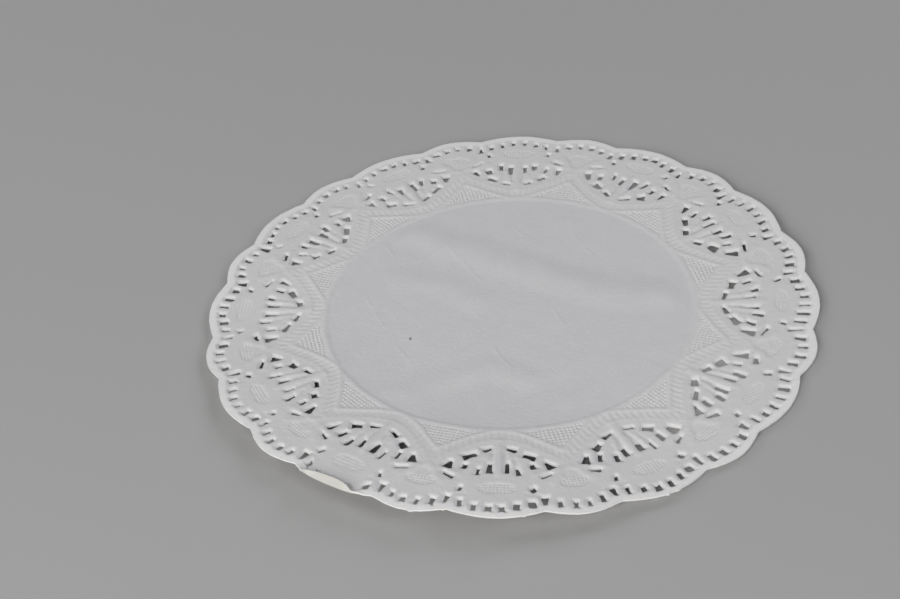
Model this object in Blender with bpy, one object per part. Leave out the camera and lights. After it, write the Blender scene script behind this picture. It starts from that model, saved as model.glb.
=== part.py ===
"""Round paper lace doily, 165 mm across: one die-cut sheet, lying with its plain middle flat.

Frame: metres, +Z up, origin at the middle of the underside, on the surface that the sheet lies on.
The lace is twelve fans around a plain disc. One fan is centred on -Y.
"""

import math

import bmesh
import bpy
from mathutils import Vector
from mathutils.geometry import delaunay_2d_cdt

MM = 0.001

# Driving sizes
OUTER_RADIUS = 82.5 * MM
THICKNESS = 1.0 * MM
FAN_COUNT = 12
FAN_PITCH = 360.0 / FAN_COUNT
FIRST_FAN = -90.0

# Scalloped outline: a wide scallop on each fan and a narrower one between fans
NOTCH_ANGLE = 8.4
NOTCH_DEPTH = 1.4 * MM
STEPS_PER_SCALLOP = 8

# Rim slots: evenly spaced all round, with the same run of sizes on every fan.
# Angles are in degrees from the fan's axis, and each row is cut on both sides of the axis.
SLOT_COLUMNS = ("angle", "middle_radius", "length", "outer_width", "inner_width")
SLOTS = (
    (1.25, 78.5, 2.1, 1.30, 1.10),
    (3.75, 77.8, 2.3, 1.30, 1.10),
    (6.25, 76.9, 2.4, 1.30, 1.10),
    (8.75, 76.0, 3.1, 0.50, 1.60),
    (11.25, 77.4, 2.2, 1.30, 1.10),
    (13.75, 78.3, 2.1, 1.30, 1.10),
)

# Window holes of one fan, in millimetres: how far the hole's middle lies across from the fan's axis
# and out from the doily's middle, and its length, its width at each end and its turn in degrees.
# A turn of 0 lays the length across the fan, and 90 points it outwards. Each row is cut on both sides.
WINDOW_COLUMNS = ("name", "across", "out", "length", "near_width", "far_width", "turn")
WINDOWS = (
    ("arch_inner", 2.95, 57.5, 2.5, 0.90, 1.40, 24.0),
    ("arch_middle", 7.15, 59.8, 2.7, 1.40, 2.00, 27.0),
    ("arch_corner", 12.00, 62.9, 2.9, 0.50, 2.40, 62.0),
    ("shoulder", 8.35, 63.7, 1.9, 1.00, 1.60, 72.0),
    ("beside_post", 2.00, 64.7, 2.7, 0.75, 1.15, 90.0),
    ("beside_leaf", 5.00, 65.8, 2.3, 0.85, 1.15, 82.0),
    ("corner_slit", 11.80, 67.2, 3.0, 1.20, 0.50, -32.0),
    ("medallion_eye", 8.80, 72.0, 1.5, 0.95, 1.25, 60.0),
)

# Soft lifts of the sheet off the surface. Directions are in degrees from the first fan's axis,
# anticlockwise seen from above. Each lift fades to nothing half_spread away on either side.
LIFT_COLUMNS = ("direction", "half_spread", "height", "start_radius")
LIFTS = (
    (352.0, 50.0, 3.9, 30.0),
    (308.0, 40.0, 2.4, 34.0),
    (255.0, 32.0, 0.7, 44.0),
    (190.0, 24.0, 0.4, 44.0),
    (118.0, 50.0, 1.3, 38.0),
)

# Rings of extra points that let the sheet bend smoothly between its plain middle and the lace
BEND_RINGS_MM = (30.0, 38.0, 46.0, 53.5)
POINTS_PER_RING = 48

# Merge distance of the triangulation, and its output type "every triangle inside some loop"
TRIANGULATION_EPSILON = 1e-7
INSIDE_ANY_LOOP = 1

PAPER_COLOUR = (0.78, 0.79, 0.80, 1.0)
PAPER_ROUGHNESS = 0.8


def rows(columns, table):
    """Give each row of a table as a dictionary keyed by its column names."""
    return [dict(zip(columns, row)) for row in table]


def polar(radius, degrees):
    angle = math.radians(degrees)
    return Vector((radius * math.cos(angle), radius * math.sin(angle)))


def outline_radius(degrees_from_fan):
    """Outer radius at an angle from a fan's axis: two kinds of scallop that meet in a notch."""
    angle = abs(degrees_from_fan)
    if angle < NOTCH_ANGLE:
        share = angle / NOTCH_ANGLE
    else:
        half_pitch = FAN_PITCH / 2
        share = (half_pitch - angle) / (half_pitch - NOTCH_ANGLE)
    return OUTER_RADIUS - NOTCH_DEPTH * (1.0 - math.cos(share * math.pi / 2))


def outline_points():
    points = []
    narrow_span = FAN_PITCH - 2 * NOTCH_ANGLE
    scallops = ((-NOTCH_ANGLE, 2 * NOTCH_ANGLE), (NOTCH_ANGLE, narrow_span))
    for fan in range(FAN_COUNT):
        axis = FIRST_FAN + fan * FAN_PITCH
        for start, span in scallops:
            for step in range(STEPS_PER_SCALLOP):
                angle = start + span * step / STEPS_PER_SCALLOP
                from_fan = angle if angle <= FAN_PITCH / 2 else angle - FAN_PITCH
                points.append(polar(outline_radius(from_fan), axis + angle))
    return points


def tapered_hole(middle, along, length, near_width, far_width):
    """Four corners, anticlockwise, of a hole whose width changes evenly along its length."""
    across = Vector((-along.y, along.x))
    near = middle - along * (length / 2)
    far = middle + along * (length / 2)
    return [
        near + across * (near_width / 2),
        near - across * (near_width / 2),
        far - across * (far_width / 2),
        far + across * (far_width / 2),
    ]


def slot_holes(axis):
    holes = []
    for row in rows(SLOT_COLUMNS, SLOTS):
        for side in (-1, 1):
            outward = polar(1.0, axis + side * row["angle"])
            holes.append(tapered_hole(
                outward * row["middle_radius"] * MM, outward, row["length"] * MM,
                row["inner_width"] * MM, row["outer_width"] * MM))
    return holes


def window_holes(axis):
    outward = polar(1.0, axis)
    sideways = polar(1.0, axis + 90.0)
    holes = []
    for row in rows(WINDOW_COLUMNS, WINDOWS):
        turn = math.radians(row["turn"])
        for side in (-1, 1):
            middle = outward * row["out"] * MM + sideways * side * row["across"] * MM
            along = sideways * side * math.cos(turn) + outward * math.sin(turn)
            holes.append(tapered_hole(
                middle, along, row["length"] * MM,
                row["near_width"] * MM, row["far_width"] * MM))
    return holes


def ring_points():
    points = []
    for index, radius in enumerate(BEND_RINGS_MM):
        stagger = 0.5 * (index % 2)
        for step in range(POINTS_PER_RING):
            points.append(polar(radius * MM, (step + stagger) * 360.0 / POINTS_PER_RING))
    return points


def raised_cosine(share):
    """Smooth step from 0 to 1 as share goes from 0 to 1."""
    return 0.5 - 0.5 * math.cos(math.pi * min(max(share, 0.0), 1.0))


def lift(point):
    """Height of the sheet's underside above the surface at a point of the flat layout."""
    radius = point.length
    direction = math.degrees(math.atan2(point.y, point.x)) - FIRST_FAN
    height = 0.0
    for row in rows(LIFT_COLUMNS, LIFTS):
        start = row["start_radius"] * MM
        aside = abs((direction - row["direction"] + 180.0) % 360.0 - 180.0)
        around = raised_cosine(1.0 - aside / row["half_spread"])
        outward = raised_cosine((radius - start) / (OUTER_RADIUS - start))
        height += row["height"] * MM * around * outward
    return height


def paper_material():
    material = bpy.data.materials.new("white_paper")
    material.use_nodes = True
    shader = material.node_tree.nodes["Principled BSDF"]
    shader.inputs["Base Color"].default_value = PAPER_COLOUR
    shader.inputs["Roughness"].default_value = PAPER_ROUGHNESS
    shader.inputs["Metallic"].default_value = 0.0
    material.diffuse_color = PAPER_COLOUR
    return material


def flat_layout():
    """Triangulate the cut sheet in the plane: its points and its triangles.

    The outline is loop 0 and every later loop is a hole, so a triangle belongs to the sheet
    when loop 0 is the only one that holds it.
    """
    loops = [outline_points()]
    for fan in range(FAN_COUNT):
        axis = FIRST_FAN + fan * FAN_PITCH
        loops += slot_holes(axis) + window_holes(axis)
    points = []
    faces = []
    for loop in loops:
        faces.append(list(range(len(points), len(points) + len(loop))))
        points += loop
    points += ring_points()
    flat_points, _, triangles, _, _, holding_loops = delaunay_2d_cdt(
        points, [], faces, INSIDE_ANY_LOOP, TRIANGULATION_EPSILON)
    paper = [triangle for triangle, loops_here in zip(triangles, holding_loops) if loops_here == [0]]
    return flat_points, paper


def build_doily():
    points, triangles = flat_layout()
    sheet = bmesh.new()
    corners = [sheet.verts.new((p.x, p.y, lift(p))) for p in points]
    for triangle in triangles:
        sheet.faces.new([corners[index] for index in triangle])
    extruded = bmesh.ops.extrude_face_region(sheet, geom=sheet.faces[:], use_keep_orig=True)
    top = [item for item in extruded["geom"] if isinstance(item, bmesh.types.BMVert)]
    bmesh.ops.translate(sheet, verts=top, vec=(0.0, 0.0, THICKNESS))
    bmesh.ops.recalc_face_normals(sheet, faces=sheet.faces[:])
    mesh = bpy.data.meshes.new("doily")
    sheet.to_mesh(mesh)
    sheet.free()
    mesh.materials.append(paper_material())
    doily = bpy.data.objects.new("doily", mesh)
    bpy.context.scene.collection.objects.link(doily)
    return doily


def main():
    for item in list(bpy.data.objects):
        bpy.data.objects.remove(item, do_unlink=True)
    build_doily()


main()
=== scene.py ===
"""Looks of the round paper lace doily: one die-cut, embossed sheet lying on a plain pale floor.

Lengths are in millimetres and angles in degrees, unless a comment says otherwise. A point of the flat
sheet is (x, y) with the doily's middle at 0. In the frame of an axis, "across" is the distance to either
side of it and "out" is the distance from the middle along it. The lace repeats on twelve fan axes, and a
second set of twelve axes runs halfway between the fans. A bearing is measured anticlockwise from +X, and
a heading anticlockwise from the first fan's axis.
"""
import math

import bpy
import numpy as np
from mathutils import Matrix, Vector, kdtree
from mathutils.geometry import delaunay_2d_cdt


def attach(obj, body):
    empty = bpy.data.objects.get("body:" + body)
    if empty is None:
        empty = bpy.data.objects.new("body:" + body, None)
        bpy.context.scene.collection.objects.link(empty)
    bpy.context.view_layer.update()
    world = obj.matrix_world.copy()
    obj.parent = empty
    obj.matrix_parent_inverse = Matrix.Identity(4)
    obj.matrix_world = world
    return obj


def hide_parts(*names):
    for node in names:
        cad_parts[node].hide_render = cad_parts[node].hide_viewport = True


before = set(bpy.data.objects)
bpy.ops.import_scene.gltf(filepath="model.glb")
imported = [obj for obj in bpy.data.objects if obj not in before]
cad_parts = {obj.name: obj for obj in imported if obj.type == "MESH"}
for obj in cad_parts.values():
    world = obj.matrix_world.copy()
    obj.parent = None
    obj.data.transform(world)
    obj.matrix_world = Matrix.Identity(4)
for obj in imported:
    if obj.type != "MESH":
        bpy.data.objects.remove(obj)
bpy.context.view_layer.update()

MM = 0.001

# ---------------------------------------------------------------- sizes of the cut

# Driving sizes of the cut sheet. The layout is the CAD model's. The notches are deeper here, and the
# holes are larger, because the walls of the relief hide part of every hole.
OUTER_RADIUS = 82.2
FAN_COUNT = 12
FAN_PITCH = 360.0 / FAN_COUNT
FIRST_FAN = -90.0
AXIS_BEARINGS = {"fan": FIRST_FAN, "between": FIRST_FAN + FAN_PITCH / 2.0}
NOTCH_ANGLE = 8.4
NOTCH_DEPTH = 2.0

# Thickness of the paper at the edges of its holes, and the gap left under the whole sheet
PAPER = 0.2
FLOOR_GAP = 0.05

# Rim slots: angles are from the fan's axis, and each row is cut on both sides of it
SLOT_COLUMNS = ("angle", "middle_radius", "length", "outer_width", "inner_width")
SLOTS = (
    (1.25, 78.5, 2.75, 1.95, 1.70),
    (3.75, 77.8, 2.85, 1.95, 1.70),
    (6.25, 76.9, 2.95, 1.95, 1.70),
    (8.75, 76.0, 3.45, 0.90, 2.15),
    (11.25, 77.4, 2.85, 1.95, 1.70),
    (13.75, 78.3, 2.75, 1.95, 1.70),
)

# Window holes of one fan, each cut on both sides of its axis. A turn of 0 lays the hole's length across
# the fan, and 90 points it outwards.
WINDOW_COLUMNS = ("name", "across", "out", "length", "near_width", "far_width", "turn")
WINDOWS = (
    ("arch_inner", 2.95, 57.6, 3.0, 1.05, 1.65, 24.0),
    ("arch_middle", 7.15, 59.9, 3.2, 1.65, 2.50, 27.0),
    ("arch_corner", 12.00, 62.9, 3.4, 0.75, 2.80, 62.0),
    ("shoulder", 8.35, 63.8, 2.5, 1.25, 1.75, 72.0),
    ("beside_post", 2.05, 64.6, 3.6, 1.15, 1.80, 90.0),
    ("beside_leaf", 5.00, 65.8, 3.0, 1.15, 1.55, 82.0),
    ("corner_slit", 11.80, 67.2, 3.1, 1.30, 0.75, -32.0),
    ("medallion_eye", 8.80, 72.0, 1.75, 1.25, 1.50, 60.0),
)

# How much further out the slots reach than the table says: this much on average, with an offset that
# is added on one side of the doily and taken away on the other
SLOT_REACH = -0.25
SLOT_REACH_OFFSET = 0.79
SLOT_REACH_HEADING = 18.0

# The slots nearest one heading start further out than the others, by this much at most
SLOT_TRIM = 1.1
SLOT_TRIM_HEADING = 0.0

# The holes are larger by this share on one side of the doily, and smaller by it on the other
HOLE_SIZE_OFFSET = 0.05
HOLE_SIZE_HEADING = 60.0

# How unevenly the holes are punched. A hole's length varies by a share of it, and both of its widths are
# multiplied by one number between the narrowest and the widest. Its corners stray by a length, or by
# a share of a narrow hole's width, and its sides bow inwards by a share of its width.
HOLE_SEED = 333
HOLE_SHIFT = 0.14
HOLE_LENGTH_SPREAD = 0.18
HOLE_NARROWEST = 0.58
HOLE_WIDEST = 1.14
HOLE_TURN_SPREAD = 5.0
HOLE_CORNER_SPREAD = 0.18
HOLE_CORNER_SHARE = 0.3
HOLE_SIDE_STEPS = 4
HOLE_SIDE_BOW = 0.22
HOLE_BOW_RANGE = (-0.5, 1.2)

# Outline: how far it lies inside the outer radius and off the middle, its point spacing, its ragged cut
# as soft random waves, and the small nibs that the die left
OUTLINE_DRAW_IN = 0.14
OUTLINE_OFFSET = 0.35
OUTLINE_OFFSET_HEADING = 40.0
OUTLINE_STEP = 0.6
OUTLINE_RAGGED = 0.05
RAGGED_COLUMNS = ("width", "seed")
RAGGED_WAVES = (
    (0.8, 11),
    (3.1, 12),
)
NIB_COLUMNS = ("fan", "angle", "half_angle", "reach")
NIBS = (
    (0, -14.0, 0.45, 0.45),
    (0, -8.7, 0.40, 0.40),
    (0, 4.9, 0.40, 0.35),
    (1, -0.6, 0.35, 0.40),
    (1, 1.3, 0.40, 0.45),
)

# ---------------------------------------------------------------- how the sheet lies

# Soft lifts of the sheet off the surface. Each fades to nothing half_spread away on either side of its
# heading. The last one raises the rim a little, least opposite the first fan, and the others are the
# CAD model's.
LIFT_COLUMNS = ("heading", "half_spread", "height", "start_radius")
LIFTS = (
    (352.0, 50.0, 3.9, 30.0),
    (308.0, 40.0, 2.4, 34.0),
    (255.0, 32.0, 0.7, 44.0),
    (190.0, 24.0, 0.4, 44.0),
    (118.0, 50.0, 1.3, 38.0),
    (0.0, 180.0, 0.35, 74.0),
)

# Broad soft waves of the plain disc: the crest line's points, half width and height of each.
# They fade out over WAVE_FADE, inside WAVE_END_RADIUS.
WAVE_COLUMNS = ("crest", "half_width", "height")
WAVES = (
    (((-32.0, 37.0), (-20.0, 29.0), (-4.0, 21.0), (10.0, 13.5), (24.0, 6.0), (46.0, 3.0)), 9.0, 0.58),
    (((-30.0, 13.0), (-17.0, 9.0), (-9.0, 2.5)), 7.0, 0.30),
    (((-34.0, -38.0), (-20.0, -32.0), (-4.0, -25.0), (7.0, -30.0)), 6.5, 0.30),
    (((38.0, -19.0), (46.0, -17.0)), 5.0, 0.15),
)
WAVE_END_RADIUS = 50.0
WAVE_FADE = 8.0

# Small unevenness of the paper: the height and width of its soft random waves
UNEVEN_COLUMNS = ("height", "width", "seed")
UNEVENNESS = (
    (0.055, 5.5, 24),
    (0.025, 1.4, 23),
)

# Short sharp creases of the disc, from one end to the other, and the mesh points beside each crease
CREASE_COLUMNS = ("start", "end", "height")
CREASES = (
    ((17.3, 30.5), (22.2, 22.2), 0.09),
    ((-0.7, 36.8), (2.8, 31.2), 0.09),
    ((-13.5, 19.8), (-9.0, 12.5), 0.09),
    ((-38.8, 3.5), (-33.6, -6.9), 0.09),
    ((-28.8, -16.0), (-24.3, -23.6), 0.09),
    ((-2.8, -18.0), (1.7, -25.7), 0.09),
    ((-18.0, 26.4), (-15.3, 21.5), 0.09),
    ((-31.2, 17.3), (-17.3, 27.7), 0.07),
    ((-35.7, 27.4), (-33.3, 23.6), 0.09),
    ((12.0, -2.0), (15.3, -8.3), 0.09),
)
CREASE_HALF_WIDTH = 0.35
CREASE_STEP = 0.6
CREASE_POINT_OFFSETS = (-0.9, -0.35, 0.0, 0.35, 0.9)
CREASE_CLEARANCE = 1.3

# The rim turned up beside one fan: where it stands, how far round it reaches, how it bends, how far
# the paper is pushed outwards as it turns, and how much shorter the slots are cut there
CURL_BEARING = 239.7
CURL_HALF_ANGLE = 4.9
CURL_FADE_ANGLE = 5.2
CURL_START = 79.3
CURL_TURN = 140.0
CURL_BEND_RADIUS = 0.5
CURL_PUSH = 1.6
CURL_PUSH_TURN = 60.0
CURL_PUSH_START = 70.0
CURL_SLOT_SHORTENING = 1.0
CURL_FLATTENING = 0.75
CURL_FLATTENING_WIDTH = 2.0

# ---------------------------------------------------------------- embossed relief

# Heights above the level of the holes' edges, and the walls drawn down to them. Along the outline
# the relief is only drawn down to RIM_EDGE_SHARE of its height.
DISC_HEIGHT = 0.62
FIELD_HEIGHT = 0.74
NET_HEIGHT = 0.68
LEAST_RELIEF = 0.02
WALL_WIDTH = 0.60
WALL_POWER = 2.0
RIM_WIDTH = 1.6
RIM_EDGE_SHARE = 0.88

# The lace's field rises from the disc's height to its own between these radii
FIELD_START = 48.5
FIELD_FULL = 51.5

# Unevenness of the pressed pattern: how far its shapes stray sideways, and how wide the waves of it are
WOBBLE = 0.16
WOBBLE_WIDTH = 2.6
WOBBLE_SEEDS = (21, 22)

# Straight ridges (height above 0) and grooves (below 0), mirrored to both sides of their axis
LINE_COLUMNS = ("name", "axis", "across_a", "out_a", "across_b", "out_b", "half_width", "height")
LINES = (
    ("stem", "fan", 0.0, 54.4, 0.0, 67.2, 0.90, 0.17),
    ("stem_groove", "fan", 1.35, 58.6, 1.85, 62.6, 0.55, -0.32),
    ("leaf_rib", "fan", 2.4, 60.0, 3.9, 63.2, 0.55, 0.12),
    ("leaf_groove", "fan", 3.9, 61.8, 4.7, 64.2, 0.50, -0.20),
    ("corner_rod", "fan", 14.6, 64.6, 9.0, 67.2, 0.75, 0.13),
    ("cross_band", "between", 5.2, 70.8, 0.3, 65.6, 0.80, 0.12),
)
LINE_SOFTNESS = 0.32

# Recesses: ellipses pressed down to a lower level
RECESS_COLUMNS = ("name", "axis", "across", "out", "half_across", "half_out", "height")
RECESSES = (
    ("wide_core", "fan", 0.0, 72.35, 4.4, 1.95, 0.58),
    ("narrow_core", "between", 0.0, 71.2, 3.6, 1.9, 0.58),
    ("narrow_tail", "between", 0.0, 69.2, 2.2, 2.6, 0.64),
    ("eye_hollow", "fan", 8.5, 74.2, 1.6, 0.8, 0.62),
)
RECESS_SOFTNESS = 0.14

# Curved ridges round the disc: out = middle + rise * (sqrt(across^2 + bend^2) - bend)
CURVE_COLUMNS = ("name", "middle", "rise", "bend", "half_width", "height")
CURVES = (
    ("outer_ridge", 50.1, 0.62, 4.5, 0.50, 0.20),
    ("inner_ridge", 53.9, 0.80, 8.0, 0.50, 0.10),
    ("ladder", 52.1, 0.72, 6.0, 1.45, -0.03),
)
RIDGE_SOFTNESS = 0.7
LADDER_SOFTNESS = 0.3
DISC_RING_RADIUS = 49.8
DISC_RING_HALF_WIDTH = 0.60
DISC_RING_HEIGHT = 0.17

# Rungs across the ladder. The length along its curve is worked out from an average slope, which is
# this share of the slope at the point.
RUNG_PITCH = 1.8
RUNG_HEIGHT = 0.10
RUNG_SLOPE_SHARE = 0.6

# Net panels: they lie between the disc's ring and the outer ridges
NET_INNER_RADIUS = 50.6
NET_INNER_FADE = 0.6
NET_BELOW_RIDGE = 0.9
NET_RIDGE_FADE = 0.7

# Fine patterns of dots: their pitches and depth, and the box in their axis's frame that is filled with
# mesh points in line with the dots
PATTERN_COLUMNS = ("name", "axis", "pitch_across", "pitch_out", "depth",
                   "centre_out", "half_across", "half_out")
PATTERNS = (
    ("net", "between", 1.02, 1.01, 0.22, 53.5, 13.0, 4.0),
    ("wide_core", "fan", 0.86, 0.86, 0.10, 72.35, 5.0, 2.4),
    ("narrow_core", "between", 0.86, 0.86, 0.10, 71.3, 4.0, 2.4),
)

# Fine fringe of short ribs on the disc's ring
FRINGE_RADIUS = 50.0
FRINGE_HALF_WIDTH = 0.8
FRINGE_SOFTNESS = 0.3
FRINGE_PITCH = 1.12
FRINGE_DEPTH = 0.05

# ---------------------------------------------------------------- the mesh

# Point spacing, and how far the inner points stay from the cut edges
LACE_SPACING = 0.56
DISC_SPACING = 1.3
UNDER_SPACING = 1.15
UNDER_DISC_SPACING = 2.2
CURL_SPACING = 0.32
BORDER_SPACING = 0.12
WALL_RINGS = (0.18, 0.48)
WALL_RING_SHARE = 0.93
TOP_CLEARANCE = 0.68
UNDER_CLEARANCE = 0.6
CURL_CLEARANCE = 0.3
RIM_CLEARANCE = 0.3
DISC_EDGE = 47.0
DISC_MARGIN_SHARE = 0.4

# A fine pattern has its own mesh points where its mask is above FINE_MASK, and the even lattice of the
# lace stops where the mask reaches OPEN_MASK
POINTS_PER_PITCH = 4
FINE_MASK = 0.3
OPEN_MASK = 0.25

# The turned-up rim has closer points where its share is above the least one, outside a radius
CURL_LEAST_SHARE = 0.02
CURL_MESH_MARGIN = 0.6
CURL_MESH_START = CURL_START - CURL_MESH_MARGIN

# The underside follows this share of the relief
UNDER_SHARE = 0.45

# Merge distance of the triangulation, its output type "every triangle inside some loop", and how far
# it may move a border point
TRIANGULATION_EPSILON = 1e-5
INSIDE_ANY_LOOP = 1
BORDER_TOLERANCE = 1e-4

# Edges that turn by more than this are shaded sharp
SHARP_ANGLE = 55.0

# Keeps a division by the radius safe at the very middle
LEAST_RADIUS = 1e-6

# ---------------------------------------------------------------- materials, light and camera

# Paper colours: the disc and the lace each vary at random between two tones, and the others are laid
# over them.
# The lace's tones are painted lighter than the disc's, as painted light for the light that the embossed
# lace catches, and the rim's near-white colour is a painted highlight.
DISC_COLOURS = ((0.715, 0.720, 0.738, 1.0), (0.765, 0.768, 0.780, 1.0))
LACE_COLOURS_PAINTED_LIGHTER = ((0.755, 0.757, 0.767, 1.0), (0.815, 0.815, 0.820, 1.0))
RIM_PAINTED_HIGHLIGHT = (0.940, 0.940, 0.942, 1.0)
WORN_COLOUR = (0.860, 0.858, 0.850, 1.0)
TURNED_COLOUR = (0.700, 0.695, 0.655, 1.0)
ROUGHNESS_RANGE = (0.70, 0.92)

# Widths of the rim's painted highlight and of the worn paper beside every cut, and how softly a colour
# ends
RIM_HIGHLIGHT_BAND = 2.1
CUT_WEAR_WIDTH = 0.4
MASK_FADE = 0.8

# One dark speck on the disc: its place and its radii along x, y and z
SPECK_COLOUR = (0.12, 0.11, 0.10, 1.0)
SPECK_PLACE = (-25.7, -12.8)
SPECK_RADII = (0.55, 0.85, 0.80)

# Random textures of the paper, with their scales per metre, and the depths that they are pressed to
CLOUD_NOISE = {"Scale": 220.0, "Detail": 4.0}
DENT_NOISE = {"Scale": 900.0, "Detail": 3.0}
FIBRE_NOISE = {"Scale": 1500.0, "Detail": 6.0}
DENT_DEPTH = 0.22
FIBRE_DEPTH = 0.06
LINEN_DEPTH = 0.018
BUMP_STRENGTH = 0.5

# Faint linen grain pressed into the disc: the bearing of each set of waves and their pitch. The wave
# texture's scale gives one wave for each unit of its own frame.
GRAIN_BEARINGS = (-63.0, 35.0)
GRAIN_PITCH = 1.0
GRAIN_WAVE_SCALE = math.pi / 10.0
GRAIN_DISTORTION = 4.0

# The floor is a square, with its half side in metres
FLOOR_HALF = 3.0
FLOOR_COLOUR = (0.50, 0.50, 0.50, 1.0)
FLOOR_ROUGHNESS = 0.9
FLOOR_SPECULAR = 0.2

# Round soft lights that look at the doily's middle: distances and sizes in metres, power in watts
LIGHT_COLUMNS = ("name", "bearing", "elevation", "distance", "size", "power", "colour")
LIGHTS = (
    ("key_light", -113.0, 25.0, 1.1, 0.75, 8.6, (1.0, 0.985, 0.955)),
    ("right_fill", -25.0, 27.0, 1.3, 0.7, 4.1, (0.975, 0.97, 1.0)),
    ("back_fill", 60.0, 27.0, 1.3, 0.7, 4.3, (0.975, 0.97, 1.0)),
    ("left_fill", 155.0, 27.0, 1.3, 0.7, 4.1, (0.975, 0.97, 1.0)),
)
AMBIENT_COLOUR = (0.97, 0.98, 1.0, 1.0)
AMBIENT_STRENGTH = 0.05

# Camera: fitted to the photograph's view of the lace
CAMERA_LENS = 71.34
CAMERA_SENSOR = 36.0
CAMERA_ELEVATION = 38.567
CAMERA_HEADING = 7.170
CAMERA_DISTANCE = 485.83
CAMERA_ROLL = 5.515
CAMERA_TARGET = (-16.35, 4.60, 0.0)
CAMERA_CLIP_START = 10.0


def rows(columns, table):
    """Give each row of a table as a dictionary keyed by its column names."""
    return [dict(zip(columns, row)) for row in table]


# ---------------------------------------------------------------- helpers on arrays of points

def smooth_step(share):
    """Smooth step from 0 to 1 as share goes from 0 to 1."""
    return 0.5 - 0.5 * np.cos(np.pi * np.clip(share, 0.0, 1.0))


def rounded(distance, softness):
    """1 well inside a shape and 0 well outside it. The distance is 1 on its half-height line."""
    return 1.0 - smooth_step((distance - 1.0 + softness) / (2.0 * softness))


def soft_noise(points, width, seed):
    """Soft random waves between -1 and 1, about as wide as given."""
    cells = 256
    grid = np.random.default_rng(seed).uniform(-1.0, 1.0, (cells, cells))
    place = points / width + cells / 2.0
    cell = np.floor(place).astype(int)
    share = smooth_step(place - cell)
    left, low = cell[:, 0] % cells, cell[:, 1] % cells
    right, high = (left + 1) % cells, (low + 1) % cells
    along, up = share[:, 0], share[:, 1]
    bottom = grid[left, low] * (1.0 - along) + grid[right, low] * along
    top = grid[left, high] * (1.0 - along) + grid[right, high] * along
    return bottom * (1.0 - up) + top * up


def radii(points):
    return np.hypot(points[:, 0], points[:, 1])


def bearings(points):
    return np.degrees(np.arctan2(points[:, 1], points[:, 0]))


def direction(bearing):
    """Unit vector at a bearing."""
    angle = math.radians(bearing)
    return np.array((math.cos(angle), math.sin(angle)))


def line_distance(points, start, end):
    """Distance of each point from a straight line between two places."""
    start = np.array(start)
    run = np.array(end) - start
    offset = points - start
    share = np.clip(offset @ run / (run @ run), 0.0, 1.0)
    return np.hypot(*(offset - share[:, None] * run).T)


def axis_frame(points, axis):
    """Across (never negative) and out of each point, from the nearest axis of the named kind."""
    angle = bearings(points) - AXIS_BEARINGS[axis]
    aside = np.radians(np.abs((angle + FAN_PITCH / 2.0) % FAN_PITCH - FAN_PITCH / 2.0))
    return radii(points) * np.sin(aside), radii(points) * np.cos(aside)


def curve_out(across, row):
    """How far out a curve of the CURVES table lies."""
    return row["middle"] + row["rise"] * (np.sqrt(across ** 2 + row["bend"] ** 2) - row["bend"])


# ---------------------------------------------------------------- the cut: outline and holes

def one_sided(offset, heading, full_heading):
    """An offset that is full at one heading, fades round the doily and is reversed opposite it."""
    return offset * math.cos(math.radians(heading - full_heading))


def outline_radius(degrees_from_fan):
    """Outer radius at an angle from a fan's axis: two kinds of scallop that meet in a notch."""
    angle = abs(degrees_from_fan)
    if angle < NOTCH_ANGLE:
        share = angle / NOTCH_ANGLE
    else:
        half_pitch = FAN_PITCH / 2
        share = (half_pitch - angle) / (half_pitch - NOTCH_ANGLE)
    return OUTER_RADIUS - NOTCH_DEPTH * (1.0 - math.cos(share * math.pi / 2))


def nib_reach(fan, angle):
    """How far a nib stands out of the outline at an angle from a fan's axis."""
    reach = 0.0
    for row in rows(NIB_COLUMNS, NIBS):
        if row["fan"] == fan:
            share = 1.0 - abs(angle - row["angle"]) / row["half_angle"]
            reach = max(reach, row["reach"] * max(share, 0.0))
    return reach


def outline_loop():
    """Border of the whole sheet, anticlockwise, with its nibs and its slightly ragged cut."""
    count = int(2.0 * math.pi * OUTER_RADIUS / OUTLINE_STEP / FAN_COUNT)
    points = []
    for fan in range(FAN_COUNT):
        for step in range(count):
            angle = (step / count - 0.5) * FAN_PITCH
            radius = outline_radius(angle) - OUTLINE_DRAW_IN + nib_reach(fan, angle)
            radius += one_sided(OUTLINE_OFFSET, fan * FAN_PITCH + angle, OUTLINE_OFFSET_HEADING)
            points.append(radius * direction(FIRST_FAN + fan * FAN_PITCH + angle))
    loop = np.array(points)
    ragged = sum(soft_noise(loop, row["width"], row["seed"])
                 for row in rows(RAGGED_COLUMNS, RAGGED_WAVES))
    return loop * (1.0 + OUTLINE_RAGGED * ragged / OUTER_RADIUS)[:, None]


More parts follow.
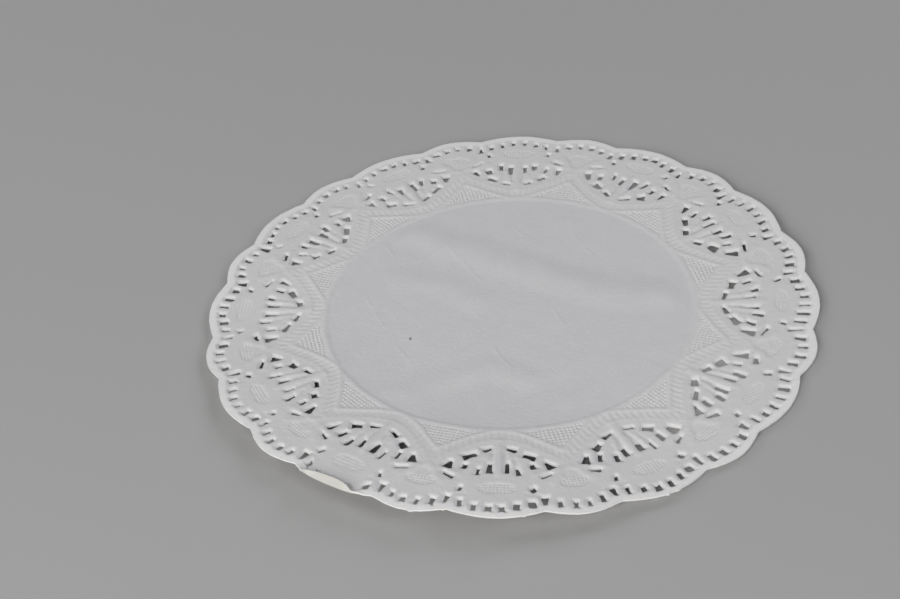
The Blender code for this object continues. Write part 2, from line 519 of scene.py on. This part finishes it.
def punched_hole(middle, along, length, near_width, far_width, dice):
    """Border of a tapered hole, anticlockwise, with uneven corners and sides that bow inwards."""
    middle = middle + dice.uniform(-HOLE_SHIFT, HOLE_SHIFT, 2)
    turn = math.radians(dice.normal(0.0, HOLE_TURN_SPREAD))
    along = np.array((along[0] * math.cos(turn) - along[1] * math.sin(turn),
                      along[0] * math.sin(turn) + along[1] * math.cos(turn)))
    across = np.array((-along[1], along[0]))
    half = along * length * (1.0 + HOLE_LENGTH_SPREAD * dice.uniform(-1.0, 1.0)) / 2.0
    width = dice.uniform(HOLE_NARROWEST, HOLE_WIDEST)
    near, far = across * near_width * width / 2.0, across * far_width * width / 2.0
    corners = np.array((middle - half + near, middle - half - near,
                        middle + half - far, middle + half + far))
    narrowness = min(near_width, far_width) * width
    corners += dice.uniform(-1.0, 1.0, (4, 2)) * min(HOLE_CORNER_SPREAD, HOLE_CORNER_SHARE * narrowness)
    points = []
    for index in range(4):
        start, run = corners[index], corners[(index + 1) % 4] - corners[index]
        inward = np.array((-run[1], run[0])) / math.hypot(*run)
        inward = inward * HOLE_SIDE_BOW * narrowness * dice.uniform(*HOLE_BOW_RANGE)
        for step in range(HOLE_SIDE_STEPS):
            # The side bows as a parabola that is deepest halfway
            share = (step + 0.5) / HOLE_SIDE_STEPS
            points.append(start + run * share + inward * 4.0 * share * (1.0 - share))
    return np.array(points)


def slot_loops(fan, side, dice):
    """Borders of the rim slots on one side of a fan's axis."""
    loops = []
    for row in rows(SLOT_COLUMNS, SLOTS):
        along = direction(FIRST_FAN + fan * FAN_PITCH + side * row["angle"])
        heading = fan * FAN_PITCH + side * row["angle"]
        reach = SLOT_REACH + one_sided(SLOT_REACH_OFFSET, heading, SLOT_REACH_HEADING)
        reach -= CURL_SLOT_SHORTENING * curl_share(along[None, :])[0]
        trim = max(one_sided(SLOT_TRIM, heading, SLOT_TRIM_HEADING), 0.0)
        size = 1.0 + one_sided(HOLE_SIZE_OFFSET, heading, HOLE_SIZE_HEADING)
        middle = along * (row["middle_radius"] + (reach + trim) / 2.0)
        loops.append(punched_hole(middle, along, size * (row["length"] + reach - trim),
                                  size * row["inner_width"], size * row["outer_width"], dice))
    return loops


def window_loops(fan, side, dice):
    """Borders of the window holes on one side of a fan's axis."""
    heading = fan * FAN_PITCH
    outward, sideways = direction(FIRST_FAN + heading), direction(FIRST_FAN + heading + 90.0)
    size = 1.0 + one_sided(HOLE_SIZE_OFFSET, heading, HOLE_SIZE_HEADING)
    loops = []
    for row in rows(WINDOW_COLUMNS, WINDOWS):
        turn = math.radians(row["turn"])
        middle = outward * row["out"] + sideways * side * row["across"]
        along = sideways * side * math.cos(turn) + outward * math.sin(turn)
        loops.append(punched_hole(middle, along, size * row["length"],
                                  size * row["near_width"], size * row["far_width"], dice))
    return loops


def hole_loops():
    """Borders of all holes, punched one after another with one seeded set of dice."""
    dice = np.random.default_rng(HOLE_SEED)
    loops = []
    for fan in range(FAN_COUNT):
        for side in (-1, 1):
            loops += slot_loops(fan, side, dice)
            loops += window_loops(fan, side, dice)
    return loops


# ---------------------------------------------------------------- how the sheet lies

def lift(points):
    """How high the soft lifts raise the sheet."""
    heading = bearings(points) - FIRST_FAN
    height = np.zeros(len(points))
    for row in rows(LIFT_COLUMNS, LIFTS):
        start = row["start_radius"]
        aside = np.abs((heading - row["heading"] + 180.0) % 360.0 - 180.0)
        around = smooth_step(1.0 - aside / row["half_spread"])
        outward = smooth_step((radii(points) - start) / (OUTER_RADIUS - start))
        height += row["height"] * around * outward
    return height


def disc_waves(points):
    """Height of the plain disc's broad soft waves."""
    height = np.zeros(len(points))
    for row in rows(WAVE_COLUMNS, WAVES):
        crest = row["crest"]
        distance = np.min([line_distance(points, start, end)
                           for start, end in zip(crest, crest[1:])], axis=0)
        height += row["height"] * smooth_step(1.0 - distance / row["half_width"])
    return height * smooth_step((WAVE_END_RADIUS - radii(points)) / WAVE_FADE)


def disc_creases(points):
    """Height of the plain disc's short sharp creases."""
    height = np.zeros(len(points))
    for row in rows(CREASE_COLUMNS, CREASES):
        distance = line_distance(points, row["start"], row["end"])
        height += row["height"] * np.clip(1.0 - distance / CREASE_HALF_WIDTH, 0.0, 1.0)
    return height


def curl_share(points):
    """How much of the rim's turn-up reaches a point's bearing: 1 in its middle, 0 away from it."""
    aside = np.abs((bearings(points) - CURL_BEARING + 180.0) % 360.0 - 180.0)
    return smooth_step((CURL_HALF_ANGLE - aside) / CURL_FADE_ANGLE + 0.5)


def placed(points, height):
    """Places of points that lie at a height above the sheet's underside, with the rim turned up.

    Outside CURL_START the turned-up rim bends along an arc and then goes on straight. The paper is
    pushed outwards there too, so that the bend stands close to where the flat rim would end.
    """
    radius = radii(points)
    turn = math.radians(CURL_TURN) * curl_share(points)
    bent_length = np.maximum(radius - CURL_START, 0.0)
    bend = np.minimum(bent_length / CURL_BEND_RADIUS, turn)
    straight = bent_length - bend * CURL_BEND_RADIUS
    push = CURL_PUSH * smooth_step(turn / math.radians(CURL_PUSH_TURN))
    push = push * smooth_step((radius - CURL_PUSH_START) / (CURL_START - CURL_PUSH_START))
    new_radius = (np.minimum(radius, CURL_START) + CURL_BEND_RADIUS * np.sin(bend)
                  + straight * np.cos(bend) - height * np.sin(bend) + push)
    rise = CURL_BEND_RADIUS * (1.0 - np.cos(bend)) + straight * np.sin(bend) + height * np.cos(bend)
    flat = points * (new_radius / np.maximum(radius, LEAST_RADIUS))[:, None]
    base = lift(points) + disc_waves(points) + FLOOR_GAP
    return np.column_stack((flat, base + rise))


# ---------------------------------------------------------------- embossed relief

def field_share(radius):
    """0 on the plain disc and 1 in the lace."""
    return smooth_step((radius - FIELD_START) / (FIELD_FULL - FIELD_START))


def net_mask(points):
    """1 in the recessed net panels between neighbouring fans' outer ridges."""
    across, out = axis_frame(points, "fan")
    ridge = next(row for row in rows(CURVE_COLUMNS, CURVES) if row["name"] == "outer_ridge")
    below_ridge = smooth_step((curve_out(across, ridge) - NET_BELOW_RIDGE - out) / NET_RIDGE_FADE + 0.5)
    return below_ridge * smooth_step((radii(points) - NET_INNER_RADIUS) / NET_INNER_FADE)


def pressed_masks(points):
    """Masks of the net panels and of every recess, by name."""
    masks = {"net": net_mask(points)}
    for row in rows(RECESS_COLUMNS, RECESSES):
        across, out = axis_frame(points, row["axis"])
        distance = np.hypot((across - row["across"]) / row["half_across"],
                            (out - row["out"]) / row["half_out"])
        masks[row["name"]] = rounded(distance, RECESS_SOFTNESS)
    return masks


def ridge_heights(across, out, radius):
    """The disc's ring and the curved ridges round it, with the rungs of the ladder between them."""
    from_ring = np.abs(radius - DISC_RING_RADIUS) / DISC_RING_HALF_WIDTH
    heights = [DISC_RING_HEIGHT * rounded(from_ring, RIDGE_SOFTNESS)]
    ladder = 0.0
    for row in rows(CURVE_COLUMNS, CURVES):
        slope = row["rise"] * across / np.sqrt(across ** 2 + row["bend"] ** 2)
        distance = np.abs(out - curve_out(across, row)) / np.sqrt(1.0 + slope ** 2)
        if row["name"] == "ladder":
            band = rounded(distance / row["half_width"], LADDER_SOFTNESS)
            arc = across * np.sqrt(1.0 + (RUNG_SLOPE_SHARE * slope) ** 2)
            ladder = band * (row["height"] - RUNG_HEIGHT * np.cos(2.0 * np.pi * arc / RUNG_PITCH))
        else:
            heights.append(row["height"] * rounded(distance / row["half_width"], RIDGE_SOFTNESS))
    return np.max(heights, axis=0) + ladder


def pattern_dots(across, out, row):
    """Rows of dots between -1 and 1 at the pitches of a fine pattern."""
    return 0.5 * (np.cos(2.0 * np.pi * across / row["pitch_across"])
                  + np.cos(2.0 * np.pi * out / row["pitch_out"]))


def relief(points):
    """Embossed height above the level of the holes' edges, before it is drawn down at any edge."""
    wobble = [soft_noise(points, WOBBLE_WIDTH, seed) for seed in WOBBLE_SEEDS]
    points = points + WOBBLE * np.stack(wobble, axis=1)
    radius = radii(points)
    frames = {axis: axis_frame(points, axis) for axis in AXIS_BEARINGS}
    masks = pressed_masks(points)

    height = DISC_HEIGHT + (FIELD_HEIGHT - DISC_HEIGHT) * field_share(radius)
    height = height + ridge_heights(*frames["fan"], radius)
    for row in rows(LINE_COLUMNS, LINES):
        start, end = (row["across_a"], row["out_a"]), (row["across_b"], row["out_b"])
        distance = line_distance(np.column_stack(frames[row["axis"]]), start, end)
        height = height + row["height"] * rounded(distance / row["half_width"], LINE_SOFTNESS)

    for row in rows(RECESS_COLUMNS, RECESSES):
        height = height + (row["height"] - height) * masks[row["name"]]
    height = height + (NET_HEIGHT - height) * masks["net"]
    for row in rows(PATTERN_COLUMNS, PATTERNS):
        height = height + row["depth"] * masks[row["name"]] * pattern_dots(*frames[row["axis"]], row)
    fringe = rounded(np.abs(radius - FRINGE_RADIUS) / FRINGE_HALF_WIDTH, FRINGE_SOFTNESS)
    around = np.arctan2(*frames["between"]) * FRINGE_RADIUS
    height = height + FRINGE_DEPTH * fringe * np.cos(2.0 * np.pi * around / FRINGE_PITCH)

    outside = smooth_step((radius - CURL_START + CURL_FLATTENING_WIDTH) / CURL_FLATTENING_WIDTH)
    flattened = curl_share(points) * outside
    height = height * (1.0 - CURL_FLATTENING * flattened)
    for row in rows(UNEVEN_COLUMNS, UNEVENNESS):
        height = height + row["height"] * soft_noise(points, row["width"], row["seed"])
    return np.maximum(height + disc_creases(points), LEAST_RELIEF)


def wall_share(to_rim, to_hole):
    """How much of the relief is left at a distance from the outline and from the nearest hole."""
    beside_hole = 1.0 - (1.0 - np.clip(to_hole / WALL_WIDTH, 0.0, 1.0)) ** WALL_POWER
    inside_rim = 1.0 - (1.0 - np.clip(to_rim / RIM_WIDTH, 0.0, 1.0)) ** WALL_POWER
    return beside_hole * (RIM_EDGE_SHARE + (1.0 - RIM_EDGE_SHARE) * inside_rim)


# ---------------------------------------------------------------- inner points of the mesh

def hex_points(spacing, half_size):
    """Points of a hexagonal lattice over a square."""
    row_pitch = spacing * math.sqrt(3.0) / 2.0
    line_count = int(half_size / row_pitch)
    point_count = int(half_size / spacing)
    lines, places = np.meshgrid(np.arange(-line_count, line_count + 1),
                                np.arange(-point_count, point_count + 1))
    x = (places + 0.5 * (lines % 2)) * spacing
    return np.stack((x.ravel(), (lines * row_pitch).ravel()), axis=1)


def in_curl(points, start):
    """Which points lie in the turned-up rim, outside a radius."""
    return (curl_share(points) > CURL_LEAST_SHARE) & (radii(points) > start)


def lace_points(spacing):
    """Even lattice over the lace, without the turned-up rim."""
    points = hex_points(spacing, OUTER_RADIUS)
    points = points[(radii(points) > DISC_EDGE) & (radii(points) < OUTER_RADIUS)]
    return points[~in_curl(points, CURL_MESH_START - 0.5 * CURL_SPACING)]


def disc_points(spacing):
    """Even lattice over the plain disc."""
    points = hex_points(spacing, DISC_EDGE)
    return points[radii(points) < DISC_EDGE - DISC_MARGIN_SHARE * spacing]


def curl_points():
    """Closer lattice where the rim is turned up."""
    points = hex_points(CURL_SPACING, OUTER_RADIUS)
    return points[in_curl(points, CURL_MESH_START) & (radii(points) < OUTER_RADIUS)]


def pattern_points(row):
    """Points in line with a fine pattern's dots, on every axis that carries it."""
    step_across = row["pitch_across"] / POINTS_PER_PITCH
    step_out = row["pitch_out"] / POINTS_PER_PITCH
    reach = int(row["half_across"] / step_across)
    first = math.ceil((row["centre_out"] - row["half_out"]) / step_out)
    last = math.floor((row["centre_out"] + row["half_out"]) / step_out)
    across, out = np.meshgrid(np.arange(-reach, reach + 1) * step_across,
                              np.arange(first, last + 1) * step_out)
    points = []
    for index in range(FAN_COUNT):
        bearing = AXIS_BEARINGS[row["axis"]] + index * FAN_PITCH
        points.append(out.reshape(-1, 1) * direction(bearing)
                      + across.reshape(-1, 1) * direction(bearing + 90.0))
    points = np.concatenate(points)
    return points[pressed_masks(points)[row["name"]] > FINE_MASK]


def crease_points():
    """Rows of points along the creases."""
    points = []
    for row in rows(CREASE_COLUMNS, CREASES):
        start, end = np.array(row["start"]), np.array(row["end"])
        length = math.hypot(*(end - start))
        along = (end - start) / length
        aside = np.array((-along[1], along[0]))
        for step in range(int(length / CREASE_STEP) + 1):
            for offset in CREASE_POINT_OFFSETS:
                points.append(start + along * step * CREASE_STEP + aside * offset)
    return np.array(points)


def top_points():
    """Inner points of the upper surface: close in the lace, and closest in its fine patterns."""
    patterns = rows(PATTERN_COLUMNS, PATTERNS)
    fine = [pattern_points(row) for row in patterns]
    lace = lace_points(LACE_SPACING)
    masks = pressed_masks(lace)
    lace = lace[np.max([masks[row["name"]] for row in patterns], axis=0) < OPEN_MASK]
    disc = disc_points(DISC_SPACING)
    to_crease = np.min([line_distance(disc, row["start"], row["end"])
                        for row in rows(CREASE_COLUMNS, CREASES)], axis=0)
    disc = disc[to_crease > CREASE_CLEARANCE]
    return np.concatenate((*fine, lace, disc, crease_points(), curl_points()))


def under_points():
    """Inner points of the underside, which is plainer."""
    return np.concatenate((lace_points(UNDER_SPACING), disc_points(UNDER_DISC_SPACING), curl_points()))


def wall_points(loops, distance):
    """Points beside every hole's border, at a distance from it, for the walls of the relief."""
    points = []
    for loop in loops:
        run = np.roll(loop, -1, axis=0) - np.roll(loop, 1, axis=0)
        outward = np.stack((run[:, 1], -run[:, 0]), axis=1) / radii(run)[:, None]
        points.append(loop + outward * distance)
    return np.concatenate(points)


# ---------------------------------------------------------------- the mesh of the sheet

def border_tree(loops):
    """A search tree of closely spaced points along cut edges."""
    samples = []
    for loop in loops:
        for start, end in zip(loop, np.roll(loop, -1, axis=0)):
            count = max(1, int(np.hypot(*(end - start)) / BORDER_SPACING))
            shares = (np.arange(count) / count)[:, None]
            samples.append(start + (end - start) * shares)
    samples = np.concatenate(samples)
    tree = kdtree.KDTree(len(samples))
    for index, (x, y) in enumerate(samples):
        tree.insert((x, y, 0.0), index)
    tree.balance()
    return tree


def border_distances(trees, points):
    """Distance of each point from the nearest cut edge of each tree."""
    return [np.array([tree.find((x, y, 0.0))[2] for x, y in points]) for tree in trees]


def triangulate(loops, inner):
    """Triangles of the cut sheet over the border points, which come first, and the inner points.

    The outline is loop 0 and every later loop is a hole, so a triangle belongs to the sheet when
    loop 0 is the only one that holds it. Points that no triangle uses are dropped.
    """
    points = [Vector(point) for point in np.concatenate((*loops, inner))]
    faces = []
    first = 0
    for loop in loops:
        faces.append(list(range(first, first + len(loop))))
        first += len(loop)
    flat, _, triangles, _, _, holders = delaunay_2d_cdt(
        points, [], faces, INSIDE_ANY_LOOP, TRIANGULATION_EPSILON)
    paper = np.array([triangle for triangle, held in zip(triangles, holders) if held == [0]])
    used = np.unique(paper)
    place = np.full(len(flat), -1)
    place[used] = np.arange(len(used))
    flat = np.array(flat)[used]
    assert np.allclose(flat[:first], np.concatenate(loops), rtol=0.0, atol=BORDER_TOLERANCE)
    return flat, place[paper]


def surface(loops, trees, inner, clearance, beside_holes):
    """Points and triangles of one side of the sheet. Its border points come first."""
    to_rim, to_hole = border_distances(trees, inner)
    clearance = np.where(in_curl(inner, CURL_MESH_START), CURL_CLEARANCE, clearance)
    inner = inner[(to_hole > clearance) & (to_rim > RIM_CLEARANCE)]
    return triangulate(loops, np.concatenate((inner, *beside_holes)))


def edge_faces(loops, upper_count):
    """Faces round every cut edge, between the border points of the upper and the lower side."""
    faces = []
    first = 0
    for loop in loops:
        for index in range(len(loop)):
            a, b = first + index, first + (index + 1) % len(loop)
            faces.append((upper_count + a, upper_count + b, b, a))
        first += len(loop)
    return faces


def store_masks(mesh, points, to_rim, to_hole):
    """Store where the paper's colours change, as one number for each vertex."""
    radius = radii(points)
    masks = {
        # The lace mask sets where the lace's painted lighter tone begins, and keeps the linen grain to
        # the disc
        "lace": field_share(radius),
        # Where the rim's painted highlight lies
        "rim": smooth_step((RIM_HIGHLIGHT_BAND - to_rim) / MASK_FADE + 0.5),
        "cut": 1.0 - smooth_step(np.minimum(to_rim, to_hole) / CUT_WEAR_WIDTH),
        "turned": curl_share(points) * smooth_step((radius - CURL_START) / MASK_FADE + 0.5),
    }
    for name, values in masks.items():
        mesh.attributes.new(name, "FLOAT", "POINT").data.foreach_set("value", values)


def sheet_mesh():
    """The whole sheet: its upper side, its underside and the faces round its cut edges."""
    loops = [outline_loop()] + hole_loops()
    trees = [border_tree(loops[:1]), border_tree(loops[1:])]
    walls = []
    for distance in WALL_RINGS:
        ring = wall_points(loops[1:], distance)
        nearest = np.min(border_distances(trees, ring), axis=0)
        walls.append(ring[nearest > WALL_RING_SHARE * distance])
    top, top_faces = surface(loops, trees, top_points(), TOP_CLEARANCE, walls)
    under, under_faces = surface(loops, trees, under_points(), UNDER_CLEARANCE, [])

    flat = np.concatenate((top, under))
    upper = np.arange(len(flat)) < len(top)
    to_rim, to_hole = border_distances(trees, flat)
    embossed = np.where(upper, 1.0, UNDER_SHARE) * relief(flat) * wall_share(to_rim, to_hole)
    vertices = placed(flat, np.where(upper, PAPER, 0.0) + embossed) * MM
    faces = (top_faces.tolist() + (under_faces[:, ::-1] + len(top)).tolist()
             + edge_faces(loops, len(top)))
    mesh = bpy.data.meshes.new("paper_lace_sheet")
    mesh.from_pydata(vertices.tolist(), [], faces)
    mesh.validate()
    mesh.update()
    mesh.shade_smooth()
    mesh.set_sharp_from_angle(angle=math.radians(SHARP_ANGLE))
    store_masks(mesh, flat, to_rim, to_hole)
    return mesh


# ---------------------------------------------------------------- materials

def add_node(tree, kind, inputs, **properties):
    """Add a node, set its properties, and then set each input or link it to another node's output."""
    node = tree.nodes.new(kind)
    for name, value in properties.items():
        setattr(node, name, value)
    for name, value in inputs.items():
        if isinstance(value, bpy.types.NodeSocket):
            tree.links.new(value, node.inputs[name])
        else:
            node.inputs[name].default_value = value
    return node


def mapped(tree, place, location, turn, scale):
    """A place, read in a frame that is moved, turned about Z and scaled."""
    inputs = {"Vector": place, "Location": location,
              "Rotation": (0.0, 0.0, math.radians(turn)), "Scale": scale}
    return add_node(tree, "ShaderNodeMapping", inputs, vector_type="TEXTURE").outputs["Vector"]


def noise(tree, place, settings):
    return add_node(tree, "ShaderNodeTexNoise", {"Vector": place, **settings}).outputs["Fac"]


def grain(tree, place, bearing):
    """Soft parallel waves that follow one another along a bearing."""
    inputs = {"Vector": mapped(tree, place, (0.0, 0.0, 0.0), bearing, [GRAIN_PITCH * MM] * 3),
              "Scale": GRAIN_WAVE_SCALE, "Distortion": GRAIN_DISTORTION}
    return add_node(tree, "ShaderNodeTexWave", inputs).outputs["Fac"]


def speck(tree, place):
    """1 in the speck's middle, falling evenly to 0 at its radii."""
    middle = (SPECK_PLACE[0] * MM, SPECK_PLACE[1] * MM, (FLOOR_GAP + PAPER + DISC_HEIGHT) * MM)
    inputs = {"Vector": mapped(tree, place, middle, 0.0, [radius * MM for radius in SPECK_RADII])}
    return add_node(tree, "ShaderNodeTexGradient", inputs, gradient_type="SPHERICAL").outputs["Fac"]


def mask(tree, name):
    return add_node(tree, "ShaderNodeAttribute", {}, attribute_name=name).outputs["Fac"]


def ranged(tree, value, low, high):
    """A value from 0 to 1, turned into one from low to high."""
    inputs = {"Value": value, "To Min": low, "To Max": high}
    return add_node(tree, "ShaderNodeMapRange", inputs).outputs["Result"]


def product(tree, first, second):
    return add_node(tree, "ShaderNodeMath", {0: first, 1: second}, operation="MULTIPLY").outputs["Value"]


def mix(tree, factor, first, second):
    """The first colour where the factor is 0, and the second where it is 1."""
    inputs = {"Factor": factor, "A": first, "B": second}
    return add_node(tree, "ShaderNodeMix", inputs, data_type="RGBA").outputs["Result"]


def bumped(tree, layers):
    """A normal that follows layers of height, each with its depth."""
    normal = {}
    for height, depth in layers:
        inputs = {"Strength": BUMP_STRENGTH, "Distance": depth * MM, "Height": height, **normal}
        normal = {"Normal": add_node(tree, "ShaderNodeBump", inputs).outputs["Normal"]}
    return normal["Normal"]


def paper_material():
    """White paper with soft clouds, fibres and a faint linen grain, and painted light: the lace painted
    lighter and the rim painted near-white.
    """
    material = bpy.data.materials.new("embossed_white_paper")
    material.use_nodes = True
    tree = material.node_tree
    place = tree.nodes.new("ShaderNodeTexCoord").outputs["Object"]
    clouds = noise(tree, place, CLOUD_NOISE)
    dents = noise(tree, place, DENT_NOISE)
    fibres = noise(tree, place, FIBRE_NOISE)
    lace = mask(tree, "lace")

    disc_colour = mix(tree, clouds, *DISC_COLOURS)
    lace_colour_painted_lighter = mix(tree, clouds, *LACE_COLOURS_PAINTED_LIGHTER)
    # The lace's lighter tone over the disc's is painted light
    colour = mix(tree, lace, disc_colour, lace_colour_painted_lighter)
    # The rim's near-white colour is a painted highlight
    colour = mix(tree, mask(tree, "rim"), colour, RIM_PAINTED_HIGHLIGHT)
    colour = mix(tree, product(tree, mask(tree, "cut"), fibres), colour, WORN_COLOUR)
    colour = mix(tree, mask(tree, "turned"), colour, TURNED_COLOUR)
    colour = mix(tree, speck(tree, place), colour, SPECK_COLOUR)

    first_grain, second_grain = [grain(tree, place, bearing) for bearing in GRAIN_BEARINGS]
    linen = product(tree, ranged(tree, lace, 1.0, 0.0), product(tree, first_grain, second_grain))
    layers = ((dents, DENT_DEPTH), (fibres, FIBRE_DEPTH), (linen, LINEN_DEPTH))

    shader = tree.nodes["Principled BSDF"]
    tree.links.new(colour, shader.inputs["Base Color"])
    tree.links.new(ranged(tree, fibres, *ROUGHNESS_RANGE), shader.inputs["Roughness"])
    tree.links.new(bumped(tree, layers), shader.inputs["Normal"])
    return material


def floor_material():
    material = bpy.data.materials.new("pale_floor")
    material.use_nodes = True
    shader = material.node_tree.nodes["Principled BSDF"]
    shader.inputs["Base Color"].default_value = FLOOR_COLOUR
    shader.inputs["Roughness"].default_value = FLOOR_ROUGHNESS
    shader.inputs["Specular IOR Level"].default_value = FLOOR_SPECULAR
    return material


# ---------------------------------------------------------------- stage, lights and camera

def make_floor():
    mesh = bpy.data.meshes.new("floor")
    corners = [(FLOOR_HALF * x, FLOOR_HALF * y, 0.0) for x, y in ((-1, -1), (1, -1), (1, 1), (-1, 1))]
    mesh.from_pydata(corners, [], [(0, 1, 2, 3)])
    floor = bpy.data.objects.new("floor", mesh)
    bpy.context.scene.collection.objects.link(floor)
    mesh.materials.append(floor_material())


def area_light(name, bearing, elevation, distance, size, power, colour):
    """A soft round light that looks at the doily's middle."""
    data = bpy.data.lights.new(name, "AREA")
    data.shape = "DISK"
    data.size = size
    data.energy = power
    data.color = colour
    light = bpy.data.objects.new(name, data)
    tilt = math.radians(elevation)
    x, y = math.cos(tilt) * distance * direction(bearing)
    light.location = (x, y, distance * math.sin(tilt))
    light.rotation_euler = Vector(light.location).to_track_quat("Z", "Y").to_euler()
    bpy.context.scene.collection.objects.link(light)


def make_lights():
    """The soft studio lights and a little even light from all round."""
    for row in rows(LIGHT_COLUMNS, LIGHTS):
        area_light(**row)
    world = bpy.data.worlds.new("studio")
    world.use_nodes = True
    background = world.node_tree.nodes["Background"]
    background.inputs["Color"].default_value = AMBIENT_COLOUR
    background.inputs["Strength"].default_value = AMBIENT_STRENGTH
    bpy.context.scene.world = world


def make_camera():
    """A camera at a heading and an elevation from its target, turned by a roll about its view."""
    elevation, heading = math.radians(CAMERA_ELEVATION), math.radians(CAMERA_HEADING)
    roll = math.radians(CAMERA_ROLL)
    forward = Vector((-math.sin(heading) * math.cos(elevation),
                      math.cos(heading) * math.cos(elevation), -math.sin(elevation)))
    right = Vector((math.cos(heading), math.sin(heading), 0.0))
    up = right.cross(forward)
    side = right * math.cos(roll) - up * math.sin(roll)
    top = right * math.sin(roll) + up * math.cos(roll)
    turn = Matrix((side, top, -forward)).transposed().to_4x4()
    data = bpy.data.cameras.new("camera")
    data.lens = CAMERA_LENS
    data.sensor_width = CAMERA_SENSOR
    data.clip_start = CAMERA_CLIP_START * MM
    camera = bpy.data.objects.new("camera", data)
    place = (Vector(CAMERA_TARGET) - forward * CAMERA_DISTANCE) * MM
    camera.matrix_world = Matrix.Translation(place) @ turn
    bpy.context.scene.collection.objects.link(camera)
    bpy.context.scene.camera = camera


# ---------------------------------------------------------------- the piece

def make_doily():
    mesh = sheet_mesh()
    mesh.materials.append(paper_material())
    doily = bpy.data.objects.new("paper_lace_doily", mesh)
    bpy.context.scene.collection.objects.link(doily)
    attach(doily, "root")
    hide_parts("doily")


bpy.context.scene.view_settings.view_transform = "Standard"
make_camera()
make_doily()
make_floor()
make_lights()
